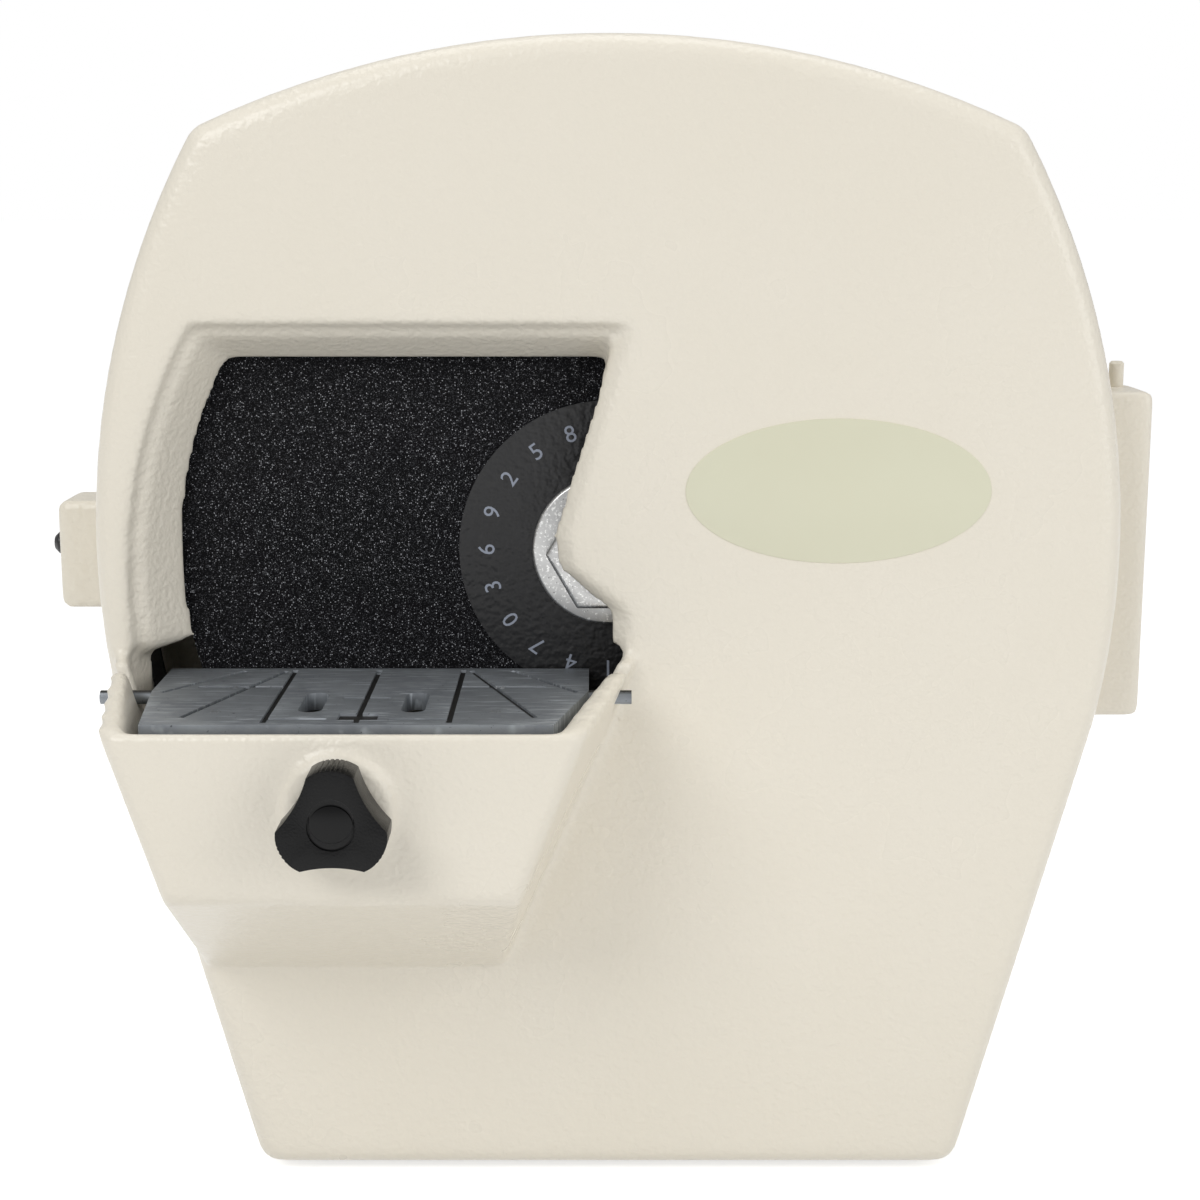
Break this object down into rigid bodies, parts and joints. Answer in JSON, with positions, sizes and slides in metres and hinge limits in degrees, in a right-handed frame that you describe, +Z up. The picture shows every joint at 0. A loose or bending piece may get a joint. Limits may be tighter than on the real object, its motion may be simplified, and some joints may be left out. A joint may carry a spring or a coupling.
{
  "type": "dental model trimmer",
  "caption": "Bench grinder that trims plaster dental models: cast hinged door with window and trough, tilting table, abrasive wheel on a motor shaft.",
  "frame": {"origin": "on the bench, under the middle of the machine's overall box", "axes": "+X to the operator's right, +Y from the operator to the motor, +Z up"},
  "size_m": [0.4024, 0.3466, 0.406],
  "materials": {
    "cream_enamel": "hammered gloss enamel",
    "bright_steel": "turned steel",
    "black_rubber": "matt",
    "cast_aluminium": "sand cast and milled",
    "black_plastic": "fine textured",
    "black_grit": "coarse silicon carbide grit",
    "black_disc": "smooth resin",
    "motor_grey": "semi gloss",
    "pvc_grey": "moulded",
    "brass": "turned"
  },
  "bodies": {
    "housing": {"rear_housing": "cream_enamel", "door_gasket": "black_rubber", "shaft_seal": "black_rubber", "hinge_pin": "bright_steel", "motor_front_bell": "motor_grey", "motor_barrel": "motor_grey", "motor_rear_bell": "motor_grey", "flange_bolts": "bright_steel", "terminal_box": "cream_enamel", "cord_gland": "black_plastic", "motor_base": "cream_enamel", "rubber_feet": "black_rubber", "drain_spout": "pvc_grey", "water_inlet": "brass", "spray_pipe": "brass"},
    "door": {"front_door": "cream_enamel"},
    "spindle": {"motor_shaft": "bright_steel", "wheel_plate": "cast_aluminium", "abrasive_disc": "black_grit", "centre_label": "black_disc", "wheel_washer": "bright_steel", "wheel_nut": "bright_steel"},
    "table": {"work_table": "cast_aluminium"},
    "screw": {"table_screw": "bright_steel"},
    "knob": {"table_knob": "black_plastic"},
    "catch": {"catch_button": "black_plastic"},
    "rocker": {"power_rocker": "black_plastic"}
  },
  "joints": [
    {"name": "door_swing", "type": "hinge", "parent": "housing", "child": "door", "pos_m": [0.1935, -0.02325, 0.225], "axis": [0, 0, 1], "range_deg": [0, 90]},
    {"name": "wheel_spin", "type": "hinge", "parent": "housing", "child": "spindle", "pos_m": [0.0065, -0.03725, 0.229], "axis": [0, 1, 0], "continuous": true},
    {"name": "screw_feed", "type": "slide", "parent": "door", "child": "screw", "axis": [0, 1, 0], "range_m": [-0.0015, 0.0015]},
    {"name": "knob_turn", "type": "hinge", "parent": "screw", "child": "knob", "pos_m": [-0.0795, -0.16725, 0.161], "axis": [0, 1, 0], "range_deg": [-361, 361]},
    {"name": "table_tilt", "type": "hinge", "parent": "door", "child": "table", "pos_m": [-0.077, -0.09225, 0.1828], "axis": [1, 0, 0], "range_deg": [-3.6, 3.6]},
    {"name": "catch_press", "type": "slide", "parent": "housing", "child": "catch", "axis": [1, 0, 0], "range_m": [0, 0.0025], "stiffness_N_per_m": 400, "springref_m": -0.001},
    {"name": "power_toggle", "type": "hinge", "parent": "housing", "child": "rocker", "pos_m": [0.0065, 0.08525, 0.332], "axis": [1, 0, 0], "range_deg": [-6, 6]}
  ],
  "couplings": [
    {"joint": "knob_turn", "follows": "screw_feed", "rad_per_m": 4188.8},
    {"joint": "table_tilt", "follows": "screw_feed", "rad_per_m": 40.724}
  ]
}
